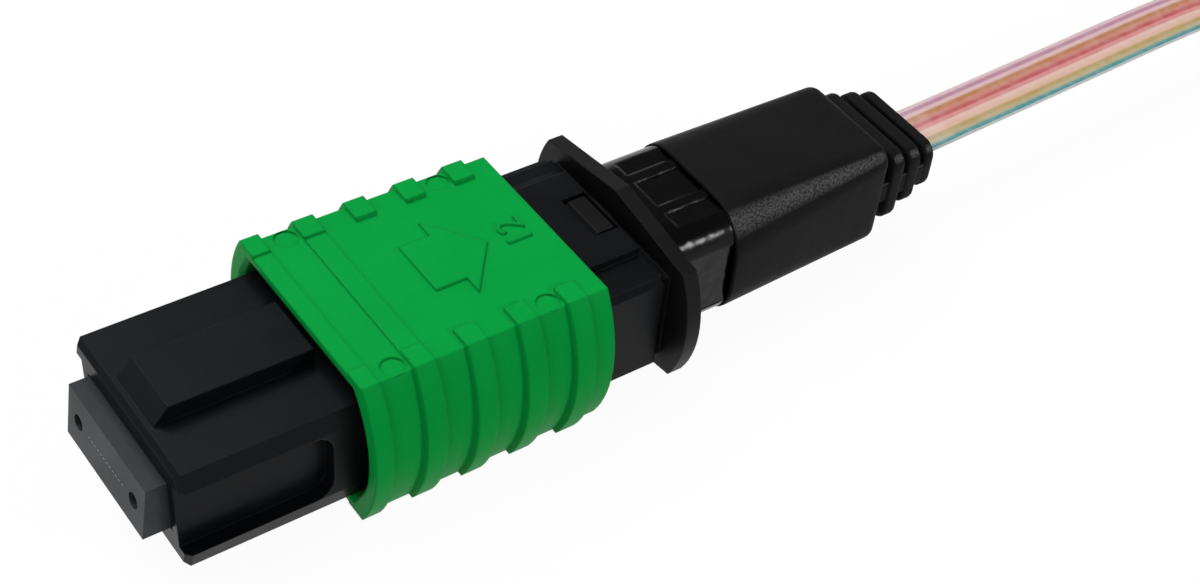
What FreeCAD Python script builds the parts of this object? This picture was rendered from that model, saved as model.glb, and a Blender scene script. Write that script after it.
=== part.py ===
"""MPO push-pull fibre connector with a 12-fibre ribbon pigtail.

Frame: millimetres, origin at the centre of the ferrule's end face, +X rearwards to the
ribbon, +Z up (the key side), +Y across. Every size that can be set by itself is a cell
of the "sizes" sheet, and the pieces are bound to those cells.
"""
import FreeCAD, Part
import math
import os
import Sketcher

DOC = FreeCAD.newDocument("mpo_connector")
SHEET = DOC.addObject("Spreadsheet::Sheet", "sizes")

SIZES = {
    # ferrule, guide bores and fibres
    "ferrule_wide": 6.4, "ferrule_tall": 2.5, "ferrule_long": 8.0, "face_angle": 8.0,
    "collar_wide": 7.0, "collar_tall": 3.0, "collar_long": 2.0,
    "guide_pitch": 4.6, "guide_bore": 0.7,
    "fibre_count": 12, "fibre_pitch": 0.25, "fibre_thick": 0.125, "fibre_fit": 0.002,
    "tail_slot_long": 4.8, "tail_slot_wide": 3.7, "tail_slot_tall": 1.3, "glue_window_long": 2.2, "glue_window_wide": 3.0,
    "ribbon_wide": 3.0, "ribbon_thick": 0.3, "ribbon_inside": 1.6, "ribbon_room": 0.06,
    "grommet_wide": 3.6, "grommet_tall": 1.2, "grommet_inside": 2.0, "grommet_long": 5.0,
    "keeper_long": 1.6, "keeper_wide": 6.9, "keeper_tall": 2.9, "keeper_fit": 0.1,
    # housing: plug end, with key and latch channels
    "plug_front": 1.0, "plug_top": 2.48, "plug_base": 2.72, "plug_half": 4.4,
    "plug_crown_half": 4.14, "channel_top": 1.67, "channel_base": 1.84, "channel_end": 7.35,
    "channel_floor": 3.75, "channel_corner": 0.9, "lead_in": 0.22,
    "key_wide": 3.0, "key_top": 3.24, "key_start": 2.09, "key_ramp": 0.65, "key_end": 8.2,
    "ferrule_room": 0.1, "collar_room": 0.1,
    # housing: rear end, with pads, windows and side panels
    "rear_start": 18.6, "rear_end": 23.0, "panel_half": 4.5, "panel_top": 2.3,
    "ridge_top": 3.1, "pad_half": 2.75, "pad_top": 3.0, "pad_end": 22.72, "panel_end": 22.85,
    "window_start": 21.5, "window_end": 22.7, "window_half": 1.28,
    "rear_cavity_tall": 4.2, "rear_cavity_start": 17.0, "cavity_fit": 0.1,
    # return springs of the sleeve
    "pocket_start": 10.2, "pocket_end": 17.3, "pocket_floor": 3.9, "pocket_half": 0.66,
    "lug_long": 0.9, "lug_gap": 0.05, "lug_half": 0.5, "lug_inner": 4.0,
    "return_coil": 1.0, "return_wire": 0.16, "return_turns": 9, "return_offset": 4.52,
    # sliding sleeve
    "sleeve_front": 8.38, "sleeve_rear": 19.76, "crown_half": 4.6, "crown_top": 3.6,
    "cheek_half": 5.57, "bore_crown_half": 4.05, "bore_top": 3.16, "bore_cheek_half": 5.1,
    "rib_high": 0.25, "rib_crown": 0.18, "band_crown": 0.08, "rib_long": 0.95,
    "rib_first": 10.7, "rib_pitch": 2.35, "rib_count": 4, "front_band_long": 0.82,
    "tab_reach": 0.95, "mouth_flare": 0.18,
    "dimple_first": 10.1, "dimple_pitch": 7.1, "dimple_apart": 8.2, "dimple_wide": 1.0,
    "dimple_deep": 0.08,
    # main spring
    "main_wire": 0.4, "main_half": 3.2, "main_rise": 1.5, "main_turns": 7,
    # spring push, with flange, barrel and latches
    "push_wide": 7.0, "push_tall": 4.0, "push_hole_wide": 4.2, "push_hole_tall": 1.6,
    "flange_start": 23.36, "flange_long": 0.72, "flange_half": 5.72, "flange_crown_half": 4.95,
    "flange_crown": 2.88, "flange_ridge": 3.72, "neck_half": 4.2, "neck_top": 2.2,
    "hook_start": 21.6, "hook_end": 22.6, "hook_half": 1.12, "hook_top": 2.93, "hook_slope": 0.2,
    "barrel_long": 4.6, "barrel_half": 3.06, "barrel_rise": 2.41,
    # crimp ring
    "ring_wall": 0.44, "ring_corner": 1.7, "ring_in_boot": 0.35, "flute_deep": 0.1,
    "flute_start": 25.05, "flute_wide": 1.7, "flute_land": 0.55, "flute_side_tall": 3.3,
    # boot
    "boot_front": 27.45, "rim_half": 3.72, "rim_rise": 3.02, "rim_corner": 2.24,
    "tail_long": 3.3, "boot_half": 3.0, "boot_rise": 2.65, "boot_corner": 0.75, "boot_lift": 0.08,
    "boot_edge": 0.3, "plate_pitch": 1.14, "plate_long": 0.72, "end_plate_long": 0.58,
    "plate_count": 3, "tail_end": 40.0, "tail_half": 2.82, "tail_rise": 1.88, "tail_corner": 0.7,
    "tail_lift": 0.2, "plate_narrower": 0.14, "plate_lower": 0.31, "core_half": 2.1,
    "core_rise": 0.8, "web_half": 0.55,
    # ribbon outside the connector
    "coil_outer": 14.6, "coil_inner": 8.0, "coil_layers": 2, "coil_centre_x": 77.5,
    "floor_level": 3.78, "twist_start": 61.0, "twist_end": 75.5, "lateral": 0.8,
}


def fill_sheet():
    """Write every size into the sheet as a plain number with its alias."""
    for row, (alias, value) in enumerate(SIZES.items(), start=1):
        SHEET.set("A%d" % row, alias)
        SHEET.set("B%d" % row, str(value))
        SHEET.setAlias("B%d" % row, alias)
    DOC.recompute()


def size(alias):
    """Read one size back from the sheet."""
    return float(getattr(SHEET, alias))


def cell(expression):
    """Turn an expression in size names into one in sheet cells."""
    words = []
    word = ""
    for letter in expression + " ":
        if letter.isalnum() or letter == "_":
            word += letter
            continue
        words.append("sizes." + word if word in SIZES else word)
        words.append(letter)
        word = ""
    return "".join(words).strip()


def work_out(expression):
    """Value of an expression in size names."""
    tree = {"sqrt": math.sqrt, "tan": lambda degrees: math.tan(math.radians(degrees))}
    return Formula(expression, tree).value()


class Formula:
    """Small reader of sums, products, quotients, powers and calls in size names."""

    def __init__(self, text, calls):
        self.marks = self.split(text)
        self.calls = calls
        self.place = 0

    @staticmethod
    def split(text):
        marks = []
        word = ""
        for letter in text + " ":
            if letter.isalnum() or letter in "_.":
                word += letter
                continue
            if word:
                marks.append(word)
            word = ""
            if letter != " ":
                marks.append(letter)
        return marks

    def peek(self):
        return self.marks[self.place] if self.place < len(self.marks) else ""

    def take(self):
        mark = self.peek()
        self.place += 1
        return mark

    def value(self):
        total = self.product()
        while self.peek() in ("+", "-"):
            total = total + self.product() if self.take() == "+" else total - self.product()
        return total

    def product(self):
        total = self.power()
        while self.peek() in ("*", "/"):
            total = total * self.power() if self.take() == "*" else total / self.power()
        return total

    def power(self):
        total = self.atom()
        if self.peek() == "^":
            self.take()
            total = total ** self.atom()
        return total

    def atom(self):
        mark = self.take()
        if mark == "-":
            return -self.power()
        if mark == "(":
            total = self.value()
            self.take()
            return total
        if mark in self.calls:
            self.take()
            total = self.calls[mark](self.value())
            self.take()
            return total
        return size(mark) if mark in SIZES else float(mark)


class Profile:
    """A closed sketch outline whose corners are bound to the sheet.

    Corners are pairs of expressions. A corner may be followed by ("arc", centre), where
    centre is the first coordinate of an arc centred on the sketch's first axis.
    """

    def __init__(self, sketch):
        self.sketch = sketch

    def bind(self, kind, geometry, point, expression):
        value = work_out(expression)
        index = self.sketch.addConstraint(Sketcher.Constraint(kind, -1, 1, geometry, point, value))
        self.sketch.setExpression("Constraints[%d]" % index, cell(expression))

    def corners(self, items):
        spots = []
        bends = {}
        for item in items:
            if item[0] == "arc":
                bends[len(spots) - 1] = item[1]
            else:
                spots.append(item)
        places = [FreeCAD.Vector(work_out(a), work_out(b), 0) for a, b in spots]
        edges = []
        for index, start in enumerate(places):
            stop = places[(index + 1) % len(places)]
            if index in bends:
                edges.append(self.arc(start, stop, work_out(bends[index])))
            else:
                edges.append((self.sketch.addGeometry(Part.LineSegment(start, stop)), 1, 2))
        for index, (edge, first, last) in enumerate(edges):
            following, entry, _ = edges[(index + 1) % len(edges)]
            self.sketch.addConstraint(Sketcher.Constraint("Coincident", edge, last, following, entry))
        for index, (a, b) in enumerate(spots):
            edge, first, _ = edges[index]
            self.bind("DistanceX", edge, first, a)
            self.bind("DistanceY", edge, first, b)
            if index in bends:
                self.bind("DistanceX", edge, 3, bends[index])

    def arc(self, start, stop, centre):
        middle = FreeCAD.Vector(centre, 0, 0)
        radius = (start - middle).Length
        first = math.atan2(start.y, start.x - centre)
        last = math.atan2(stop.y, stop.x - centre)
        backwards = (last - first) % (2 * math.pi) > math.pi
        if backwards:
            first, last = last, first
        circle = Part.Circle(middle, FreeCAD.Vector(0, 0, 1), radius)
        edge = self.sketch.addGeometry(Part.ArcOfCircle(circle, first, last))
        return (edge, 2, 1) if backwards else (edge, 1, 2)

    def circle(self, first, second, diameter):
        centre = FreeCAD.Vector(work_out(first), work_out(second), 0)
        edge = self.sketch.addGeometry(Part.Circle(centre, FreeCAD.Vector(0, 0, 1), work_out(diameter) / 2))
        self.bind("DistanceX", edge, 3, first)
        self.bind("DistanceY", edge, 3, second)
        index = self.sketch.addConstraint(Sketcher.Constraint("Diameter", edge, work_out(diameter)))
        self.sketch.setExpression("Constraints[%d]" % index, cell(diameter))

    def rectangle(self, left, right, low, high):
        self.corners([(left, low), (right, low), (right, high), (left, high)])

    def rounded(self, half, rise, corner, lift="0"):
        """A rectangle whose corners are quarter circles, with its middle at a height."""
        inner = (work_out(half) - work_out(corner), work_out(rise) - work_out(corner))
        radius = work_out(corner)
        signs = [(1, 1), (-1, 1), (-1, -1), (1, -1)]
        arcs = []
        for turn, (right, up) in enumerate(signs):
            middle = FreeCAD.Vector(right * inner[0], work_out(lift) + up * inner[1], 0)
            circle = Part.Circle(middle, FreeCAD.Vector(0, 0, 1), radius)
            start = turn * math.pi / 2
            arcs.append(self.sketch.addGeometry(Part.ArcOfCircle(circle, start, start + math.pi / 2)))
        for turn, arc in enumerate(arcs):
            following = arcs[(turn + 1) % 4]
            ends = [self.point(arc, 2), self.point(following, 1)]
            line = self.sketch.addGeometry(Part.LineSegment(*ends))
            self.sketch.addConstraint(Sketcher.Constraint("Tangent", arc, 2, line, 1))
            self.sketch.addConstraint(Sketcher.Constraint("Tangent", line, 2, following, 1))
            right, up = signs[turn]
            self.bind("DistanceX", arc, 3, "%d * (%s - %s)" % (right, half, corner))
            self.bind("DistanceY", arc, 3, "%s + %d * (%s - %s)" % (lift, up, rise, corner))
        index = self.sketch.addConstraint(Sketcher.Constraint("Radius", arcs[0], radius))
        self.sketch.setExpression("Constraints[%d]" % index, cell(corner))
        for line in (arcs[0] + 4, arcs[0] + 6):
            self.sketch.addConstraint(Sketcher.Constraint("Horizontal", line))
        self.sketch.addConstraint(Sketcher.Constraint("Vertical", arcs[0] + 5))

    def faceted(self, half, rise, corner, lift="0"):
        """The same outline with each corner as six straight steps, for lofts with few faces."""
        steps = 6
        spots = []
        for right, over, quarter in ((1, 1, 0), (-1, 1, 1), (-1, -1, 2), (1, -1, 3)):
            for step in range(steps + 1):
                turn = math.pi / 2 * (quarter + step / steps)
                spots.append(
                    ("%d * (%s - (%s)) + %.5f * (%s)" % (right, half, corner, math.cos(turn), corner),
                     "%s + %d * (%s - (%s)) + %.5f * (%s)" % (lift, over, rise, corner,
                                                              math.sin(turn), corner)))
        self.corners(spots)

    def point(self, geometry, place):
        return self.sketch.getPoint(geometry, place)


class Piece:
    """One sub-part as a PartDesign body, with its features bound to the sheet."""

    def __init__(self, label):
        self.body = DOC.addObject("PartDesign::Body", label)
        self.body.Label = label
        self.made = 0

    def plane(self, role):
        return next(item for item in self.body.Origin.OriginFeatures if item.Role == role)

    def name(self, kind):
        self.made += 1
        return "%s_%s_%d" % (self.body.Name, kind, self.made)

    def sketch(self, role, offset="0"):
        """A sketch on an origin plane, moved along its normal by an expression."""
        drawn = self.body.newObject("Sketcher::SketchObject", self.name("sketch"))
        drawn.AttachmentSupport = [(self.plane(role), "")]
        drawn.MapMode = "FlatFace"
        drawn.AttachmentOffset.Base.z = work_out(offset)
        drawn.setExpression("AttachmentOffset.Base.z", cell(offset))
        return drawn

    def feature(self, kind, drawn, length, midplane=False, reverse=False):
        made = self.body.newObject("PartDesign::" + kind, self.name(kind.lower()))
        made.Profile = drawn
        made.Reversed = reverse
        made.Midplane = midplane
        made.Length = work_out(length)
        made.setExpression("Length", cell(length))
        drawn.Visibility = False
        DOC.recompute()
        return made

    def pad(self, role, offset, length, draw, **options):
        drawn = self.sketch(role, offset)
        draw(Profile(drawn))
        return self.feature("Pad", drawn, length, **options)

    def pocket(self, role, offset, length, draw, **options):
        """Cut away from the sketch along +normal, and make sure that something went."""
        before = self.body.Shape.Volume
        drawn = self.sketch(role, offset)
        draw(Profile(drawn))
        options.setdefault("reverse", True)
        cut = self.feature("Pocket", drawn, length, **options)
        if not self.body.Shape.Volume < before - 1e-6:
            raise RuntimeError("nothing cut by " + cut.Name)
        return cut

    def loft(self, stations):
        """A straight-sided loft through rounded rectangles across the X axis."""
        drawn = []
        for offset, *outline in stations:
            drawn.append(self.sketch("YZ_Plane", offset))
            Profile(drawn[-1]).faceted(*outline)
        DOC.recompute()
        loft = self.body.newObject("PartDesign::AdditiveLoft", self.name("loft"))
        loft.Profile = drawn[0]
        loft.Sections = drawn[1:]
        loft.Ruled = True
        for sketch in drawn:
            sketch.Visibility = False
        DOC.recompute()
        return loft

    def repeat(self, features, count, pitch, axis="X_Axis"):
        """Repeat features in a row along an origin axis."""
        pattern = self.body.newObject("PartDesign::LinearPattern", self.name("row"))
        pattern.Originals = features
        pattern.Direction = (self.plane(axis), [""])
        pattern.Occurrences = int(work_out(count))
        pattern.setExpression("Occurrences", cell(count))
        whole = "(%s - 1) * %s" % (count, pitch)
        pattern.Length = work_out(whole)
        pattern.setExpression("Length", cell(whole))
        self.body.Tip = pattern
        DOC.recompute()
        return pattern

    def mirror(self, features, role):
        mirrored = self.body.newObject("PartDesign::Mirrored", self.name("mirror"))
        mirrored.Originals = features
        mirrored.MirrorPlane = (self.plane(role), [""])
        self.body.Tip = mirrored
        DOC.recompute()
        return mirrored

    def chamfer(self, amount, chosen):
        """Bevel the edges of the tip that a test picks."""
        base = self.body.Tip
        names = []
        for index, edge in enumerate(base.Shape.Edges, start=1):
            if chosen(edge):
                names.append("Edge%d" % index)
        if not names:
            raise RuntimeError("no edge to bevel on " + self.body.Label)
        bevel = self.body.newObject("PartDesign::Chamfer", self.name("chamfer"))
        bevel.Base = (base, names)
        bevel.Size = work_out(amount)
        bevel.setExpression("Size", cell(amount))
        self.body.Tip = bevel
        DOC.recompute()


def near(value, expression, slack=1e-4):
    return abs(value - work_out(expression)) < slack


def in_plane_x(edge, expression):
    box = edge.BoundBox
    return box.XLength < 1e-4 and near(box.XMin, expression)


# --- ferrule and what moves with it ----------------------------------------------------


def make_ferrule():
    """Rectangular ferrule with an angled face, a rear collar, guide bores and fibre bores."""
    ferrule = Piece("ferrule")
    lean = "ferrule_tall / 2 * tan(face_angle)"
    ferrule.pad("XZ_Plane", "0", "ferrule_wide", lambda drawn: drawn.corners([
        ("-" + lean, "-ferrule_tall / 2"), ("ferrule_long", "-ferrule_tall / 2"),
        ("ferrule_long", "ferrule_tall / 2"), (lean, "ferrule_tall / 2")]), midplane=True)
    ferrule.pad("YZ_Plane", "ferrule_long - collar_long", "collar_long", lambda drawn: drawn.rectangle(
        "-collar_wide / 2", "collar_wide / 2", "-collar_tall / 2", "collar_tall / 2"))
    for side in ("", "-"):
        ferrule.pocket("YZ_Plane", "-1", "ferrule_long + 2", lambda drawn: drawn.circle(
            side + "guide_pitch / 2", "0", "guide_bore"))
    slot = "ferrule_long - tail_slot_long"
    bore = ferrule.pocket("YZ_Plane", "-1", slot + " + 1", lambda drawn: drawn.circle(
        "-(fibre_count - 1) / 2 * fibre_pitch", "0", "fibre_thick + fibre_fit"))
    ferrule.repeat([bore], "fibre_count", "fibre_pitch", "Y_Axis")
    ferrule.pocket("YZ_Plane", slot, "ferrule_long", lambda drawn: drawn.rectangle(
        "-tail_slot_wide / 2", "tail_slot_wide / 2", "-tail_slot_tall / 2", "tail_slot_tall / 2"))
    ferrule.pocket("XY_Plane", "0", "ferrule_tall", lambda drawn: drawn.rectangle(
        slot + " + 0.2", slot + " + 0.2 + glue_window_long",
        "-glue_window_wide / 2", "glue_window_wide / 2"))


def make_fibres():
    """Twelve bare glass fibres from the polished face to where the ribbon's coating starts."""
    strands = []
    for index in range(int(size("fibre_count"))):
        strand = DOC.addObject("Part::Prism", "fibre_%d" % index)
        strand.Polygon = 10
        strand.setExpression("Circumradius", cell("fibre_thick / 2"))
        strand.setExpression("Height", cell("ferrule_long - ribbon_inside"))
        place = "(%d - (fibre_count - 1) / 2) * fibre_pitch" % index
        strand.Placement = FreeCAD.Placement(FreeCAD.Vector(0, work_out(place), 0),
                                             FreeCAD.Rotation(FreeCAD.Vector(0, 1, 0), 90))
        strand.setExpression("Placement.Base.y", cell(place))
        strands.append(strand)
    group = DOC.addObject("Part::Compound", "fibre_array")
    group.Label = "fibre_array"
    group.Links = strands


def make_epoxy():
    """Cured adhesive that fills the ferrule's top window above the fibres."""
    epoxy = Piece("epoxy_fill")
    slot = "ferrule_long - tail_slot_long"
    epoxy.pad("XY_Plane", "fibre_thick / 2 + 0.04", "ferrule_tall / 2 - fibre_thick / 2 - 0.1",
              lambda drawn: drawn.rectangle(
                  slot + " + 0.22", slot + " + 0.18 + glue_window_long",
                  "-glue_window_wide / 2 + 0.02", "glue_window_wide / 2 - 0.02"))


def make_grommet():
    """Rubber boot at the ferrule's tail that guides the ribbon in."""
    grommet = Piece("ferrule_grommet")
    start = "ferrule_long - grommet_inside"
    grommet.pad("YZ_Plane", start, "grommet_long", lambda drawn: drawn.rounded(
        "grommet_wide / 2", "grommet_tall / 2", "grommet_tall / 4"))
    grommet.pocket("YZ_Plane", start + " - 1", "grommet_long + 2", lambda drawn: drawn.rectangle(
        "-ribbon_wide / 2 - ribbon_room", "ribbon_wide / 2 + ribbon_room",
        "-ribbon_thick / 2 - ribbon_room", "ribbon_thick / 2 + ribbon_room"))


def make_pin_keeper():
    """Pin keeper without pins, seated on the ferrule's tail, as in the socket gender."""
    keeper = Piece("pin_keeper")
    keeper.pad("YZ_Plane", "ferrule_long", "keeper_long", lambda drawn: drawn.rounded(
        "keeper_wide / 2", "keeper_tall / 2", "keeper_tall / 8"))
    keeper.pocket("YZ_Plane", "ferrule_long - 1", "keeper_long + 2", lambda drawn: drawn.rectangle(
        "-grommet_wide / 2 - keeper_fit", "grommet_wide / 2 + keeper_fit",
        "-grommet_tall / 2 - keeper_fit", "grommet_tall / 2 + keeper_fit"))
    for side in ("", "-"):
        keeper.pocket("YZ_Plane", "ferrule_long - 1", "1 + keeper_long / 2",
                      lambda drawn: drawn.circle(side + "guide_pitch / 2", "0", "guide_bore + 0.1"))


# --- housing ---------------------------------------------------------------------------


def plug_outline(drawn):
    """Plug section: upright sides over the channels, sloping up to the crown and down to the base."""
    drawn.corners([
        ("-plug_crown_half", "-plug_base"), ("plug_crown_half", "-plug_base"),
        ("plug_half", "-channel_base"), ("plug_half", "channel_top"),
        ("plug_crown_half", "plug_top"), ("-plug_crown_half", "plug_top"),
        ("-plug_half", "channel_top"), ("-plug_half", "-channel_base")])


def rear_outline(drawn):
    """Rear section: side panels under a shallow roof."""
    drawn.corners([
        ("-panel_half", "-panel_top"), ("0", "-ridge_top"), ("panel_half", "-panel_top"),
        ("panel_half", "panel_top"), ("0", "ridge_top"), ("-panel_half", "panel_top")])


def make_housing():
    """Front housing: keyed plug with latch channels, spring pockets and a windowed rear end."""
    housing = Piece("front_housing")
    housing.pad("YZ_Plane", "plug_front", "rear_end - plug_front", plug_outline)
    housing.chamfer("lead_in", lambda edge: in_plane_x(edge, "plug_front"))
    housing.pad("YZ_Plane", "rear_start", "panel_end - rear_start", rear_outline)
    housing.pad("XY_Plane", "0", "pad_top * 2", lambda drawn: drawn.rectangle(
        "rear_start", "pad_end", "-pad_half", "pad_half"), midplane=True)
    for side in ("", "-"):
        trim_roof(housing, side)
    housing.pad("XZ_Plane", "0", "key_wide", lambda drawn: drawn.corners([
        ("key_start - key_ramp", "0"), ("key_end", "0"), ("key_end", "key_top"),
        ("key_start", "key_top"), ("key_start - key_ramp", "plug_top")]), midplane=True)
    channel = housing.pocket("XZ_Plane", "channel_floor", "plug_half", channel_outline)
    housing.mirror([channel], "XZ_Plane")
    pocket = housing.pocket("XZ_Plane", "pocket_floor", "plug_half", lambda drawn: drawn.rectangle(
        "pocket_start", "pocket_end", "-pocket_half", "pocket_half"))
    housing.mirror([pocket], "XZ_Plane")
    housing.pocket("YZ_Plane", "0", "rear_end + 1", lambda drawn: drawn.rectangle(
        "-ferrule_wide / 2 - ferrule_room", "ferrule_wide / 2 + ferrule_room",
        "-ferrule_tall / 2 - ferrule_room", "ferrule_tall / 2 + ferrule_room"))
    housing.pocket("YZ_Plane", "ferrule_long - collar_long", "rear_end", lambda drawn: drawn.rectangle(
        "-collar_wide / 2 - collar_room", "collar_wide / 2 + collar_room",
        "-collar_tall / 2 - collar_room", "collar_tall / 2 + collar_room"))
    housing.pocket("YZ_Plane", "rear_cavity_start", "rear_end", lambda drawn: drawn.rectangle(
        "-push_wide / 2 - cavity_fit", "push_wide / 2 + cavity_fit",
        "-rear_cavity_tall / 2", "rear_cavity_tall / 2"))
    housing.pocket("XY_Plane", "-ridge_top - 1", "ridge_top * 2 + 2", lambda drawn: drawn.rectangle(
        "window_start", "window_end", "-window_half", "window_half"))


def trim_roof(housing, side):
    """Take the roof down to the flat pad where the pad covers it."""
    sign = "" if side == "" else "-"
    housing.pocket("XZ_Plane", "0", "pad_half * 2", lambda drawn: drawn.rectangle(
        "rear_start - 1", "rear_end + 1", sign + "pad_top", sign + "(ridge_top + 1)"),
        midplane=True)


def channel_outline(drawn):
    """Side channel, open at the plug's front, with two rounded corners at its rear end."""
    steps = 4
    outline = [("0", "-channel_base"), ("channel_end - channel_corner", "-channel_base")]
    for index in range(1, steps):
        turn = math.pi / 2 * index / steps
        outline.append(("channel_end - channel_corner * (1 - %.6f)" % math.sin(turn),
                        "-channel_base + channel_corner * (1 - %.6f)" % math.cos(turn)))
    outline.append(("channel_end", "-channel_base + channel_corner"))
    outline.append(("channel_end", "channel_top - channel_corner"))
    for index in range(1, steps):
        turn = math.pi / 2 * index / steps
        outline.append(("channel_end - channel_corner * (1 - %.6f)" % math.cos(turn),
                        "channel_top - channel_corner * (1 - %.6f)" % math.sin(turn)))
    outline += [("channel_end - channel_corner", "channel_top"), ("0", "channel_top")]
    drawn.corners(outline)


# --- sliding sleeve --------------------------------------------------------------------


def cheek_centre(half, crown_half, crown_top):
    """Centre of the arc through the two crown corners and the widest point of a cheek."""
    rise = "(%s - %s)" % (half, crown_half)
    return "%s - (%s ^ 2 + %s ^ 2) / (2 * %s)" % (half, crown_top, rise, rise)


def sleeve_outline(half, crown_half, crown_top):
    """Flat crown and base joined by convex cheeks."""
    middle = cheek_centre(half, crown_half, crown_top)
    return [("-(%s)" % crown_half, "-(%s)" % crown_top), (crown_half, "-(%s)" % crown_top),
            ("arc", middle), (crown_half, crown_top), ("-(%s)" % crown_half, crown_top),
            ("arc", "-(%s)" % middle)]


def rib_outline():
    """A grip rib: round both cheeks, with short tabs that lap onto the crown and the base."""
    half = "cheek_half + rib_high"
    wide = "crown_half + rib_high / 2"
    high = "crown_top + rib_crown"
    middle = cheek_centre("(%s)" % half, "(%s)" % wide, "(%s)" % high)
    tab = "crown_half - tab_reach"
    sunk = "crown_top - rib_crown"
    return [("-(%s)" % wide, "-(%s)" % high), ("-(%s)" % tab, "-(%s)" % high),
            ("-(%s)" % tab, "-(%s)" % sunk), (tab, "-(%s)" % sunk), (tab, "-(%s)" % high),
            (wide, "-(%s)" % high), ("arc", middle), (wide, high), (tab, high), (tab, sunk),
            ("-(%s)" % tab, sunk), ("-(%s)" % tab, high), ("-(%s)" % wide, high),
            ("arc", "-(%s)" % middle)]


def ejector_marks(drawn):
    """The two round marks that a mould's ejector pins leave across the crown."""
    for side in ("", "-"):
        drawn.circle("dimple_first", side + "dimple_apart / 2", "dimple_wide")


def make_sleeve():
    """Sliding coupling sleeve with grip ribs, a through bore and two spring lugs."""
    sleeve = Piece("coupling_sleeve")
    sleeve.pad("YZ_Plane", "sleeve_front", "sleeve_rear - sleeve_front",
               lambda drawn: drawn.corners(sleeve_outline("cheek_half", "crown_half", "crown_top")))
    rib = sleeve.pad("YZ_Plane", "rib_first", "rib_long", lambda drawn: drawn.corners(rib_outline()))
    sleeve.repeat([rib], "rib_count", "rib_pitch")
    sleeve.pad("YZ_Plane", "sleeve_front", "front_band_long",
               lambda drawn: drawn.corners(rib_outline()))
    for start, length in (("sleeve_front", "front_band_long"), ("rib_first", "rib_long")):
        sleeve.pad("YZ_Plane", start, length, lambda drawn: drawn.rectangle(
            "-crown_half", "crown_half", "-crown_top - band_crown", "crown_top + band_crown"))
    sleeve.pocket("YZ_Plane", "sleeve_front - 1", "sleeve_rear - sleeve_front + 2",
                  lambda drawn: drawn.corners(
                      sleeve_outline("bore_cheek_half", "bore_crown_half", "bore_top")))
    sleeve.chamfer("mouth_flare", lambda edge: in_plane_x(edge, "sleeve_front")
                 and edge.BoundBox.ZMax < work_out("bore_top + 0.05")
                 and edge.BoundBox.ZMin > work_out("-bore_top - 0.05")
                 and edge.BoundBox.YMax < work_out("bore_cheek_half + 0.05")
                 and edge.BoundBox.YMin > work_out("-bore_cheek_half - 0.05"))
    lug = sleeve.pad("XZ_Plane", "lug_inner", "bore_cheek_half - lug_inner + 0.15",
                     lambda drawn: drawn.rectangle(
                         "pocket_start + lug_gap", "pocket_start + lug_gap + lug_long",
                         "-lug_half", "lug_half"))
    sleeve.mirror([lug], "XZ_Plane")
    dimples = sleeve.pocket("XY_Plane", "crown_top - dimple_deep", "1", ejector_marks)
    sleeve.repeat([dimples], "2", "dimple_pitch")


# --- springs ---------------------------------------------------------------------------


def wound_wire(label, ends, turns, half, rise, wire, across=0.0):
    """A coil spring about the X axis: a straight-sided loft through six-sided sections."""
    steps_each_turn = 11
    start, stop = ends
    count = steps_each_turn * int(turns)
    sections = []
    for index in range(count + 1):
        turn = 2 * math.pi * index / steps_each_turn
        middle = FreeCAD.Vector(start + (stop - start) * index / count,
                                across + half * math.cos(turn), rise * math.sin(turn))
        heading = FreeCAD.Vector((stop - start) / (2 * math.pi * turns),
                                 -half * math.sin(turn), rise * math.cos(turn)).normalize()
        side = heading.cross(FreeCAD.Vector(1, 0, 0)).normalize()
        up = heading.cross(side)
        ring = []
        for corner in range(7):
            angle = math.pi / 3 * corner
            ring.append(middle + side * (wire / 2 * math.cos(angle)) + up * (wire / 2 * math.sin(angle)))
        sections.append(Part.makePolygon(ring))
    spring = DOC.addObject("Part::Feature", label)
    spring.Label = label
    spring.Shape = Part.makeLoft(sections, True, True)


def make_return_spring(label, side):
    """Small coil spring between a lug of the sleeve and the end of its pocket."""
    wire = size("return_wire")
    radius = (size("return_coil") - wire) / 2
    ends = (work_out("pocket_start + lug_gap + lug_long + return_wire / 2"),
            work_out("pocket_end - return_wire / 2"))
    wound_wire(label, ends, size("return_turns"), radius, radius, wire,
               side * size("return_offset"))


def make_main_spring():
    """Oval coil spring round the ribbon, between the pin keeper and the spring push."""
    ends = (work_out("ferrule_long + keeper_long + main_wire / 2"),
            work_out("rear_cavity_start - main_wire / 2"))
    wound_wire("main_spring", ends, size("main_turns"), work_out("main_half - main_wire / 2"),
               work_out("main_rise - main_wire / 2"), size("main_wire"))


# --- spring push, crimp ring and boot --------------------------------------------------


def flange_outline():
    """Rear flange: a shallow roof above and below, and convex sides."""
    middle = cheek_centre("flange_half", "flange_crown_half", "flange_crown")
    return [("-flange_crown_half", "-flange_crown"), ("0", "-flange_ridge"),
            ("flange_crown_half", "-flange_crown"), ("arc", middle),
            ("flange_crown_half", "flange_crown"), ("0", "flange_ridge"),
            ("-flange_crown_half", "flange_crown"), ("arc", "-(%s)" % middle)]


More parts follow.
